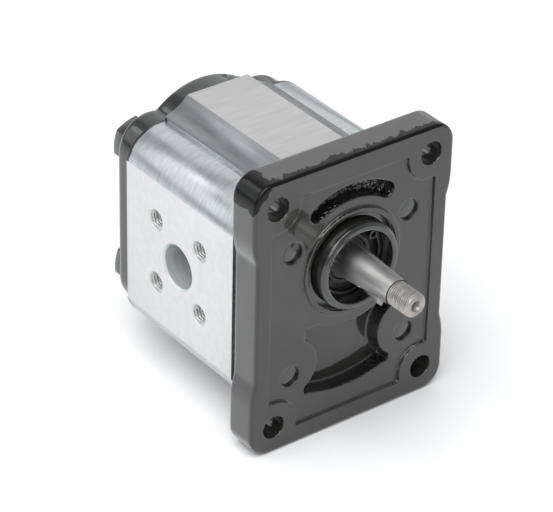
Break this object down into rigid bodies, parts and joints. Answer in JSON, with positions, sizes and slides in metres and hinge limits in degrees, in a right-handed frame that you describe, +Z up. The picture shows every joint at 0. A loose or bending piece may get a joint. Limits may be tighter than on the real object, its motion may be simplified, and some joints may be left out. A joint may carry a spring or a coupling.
{
  "type": "hydraulic gear pump",
  "caption": "External gear pump with a cast mounting flange, extruded body, side ports, bolted rear cover and tapered keyed drive shaft.",
  "frame": {"origin": "centre of the locating spigot, in the plane of the mounting face", "axes": "+X to the right seen from the shaft end, +Y back along the shaft into the pump, +Z up from the driven gear to the drive gear"},
  "size_m": [0.093, 0.1437, 0.119],
  "materials": {
    "black_casting": "gloss paint over a cast surface",
    "extruded_body": "satin, as extruded, with milled port faces",
    "ground_steel": "ground and polished",
    "block_alloy": "machined",
    "bush_bronze": "satin",
    "seal_rubber": "matt",
    "backup_plastic": "matt",
    "seal_steel": "dull, rubber covered",
    "spring_steel": "black phosphated",
    "key_steel": "bright drawn",
    "bolt_steel": "painted over with the casting"
  },
  "bodies": {
    "housing": {"front_flange": "black_casting", "pump_body": "extruded_body", "rear_cover": "black_casting", "front_bearing_block": "block_alloy", "rear_bearing_block": "block_alloy", "drive_front_bush": "bush_bronze", "drive_rear_bush": "bush_bronze", "driven_front_bush": "bush_bronze", "driven_rear_bush": "bush_bronze", "front_block_seal": "seal_rubber", "rear_block_seal": "seal_rubber", "front_backup_seal": "backup_plastic", "rear_backup_seal": "backup_plastic", "front_body_seal": "seal_rubber", "rear_body_seal": "seal_rubber", "shaft_seal_case": "seal_steel", "shaft_seal_lip": "seal_rubber", "garter_spring": "spring_steel", "retaining_ring": "spring_steel", "cover_bolts": "bolt_steel", "dowel_pins": "key_steel"},
    "drive_shaft": {"drive_gear_shaft": "ground_steel", "shaft_key": "key_steel"},
    "driven_shaft": {"driven_gear_shaft": "ground_steel"}
  },
  "joints": [
    {"name": "drive_shaft_spin", "type": "hinge", "parent": "housing", "child": "drive_shaft", "pos_m": [0, 0, 0], "axis": [0, -1, 0], "continuous": true},
    {"name": "driven_shaft_spin", "type": "hinge", "parent": "housing", "child": "driven_shaft", "pos_m": [0, 0, -0.0295], "axis": [0, -1, 0], "continuous": true}
  ],
  "couplings": [
    {"joint": "driven_shaft_spin", "follows": "drive_shaft_spin", "ratio": -1}
  ]
}
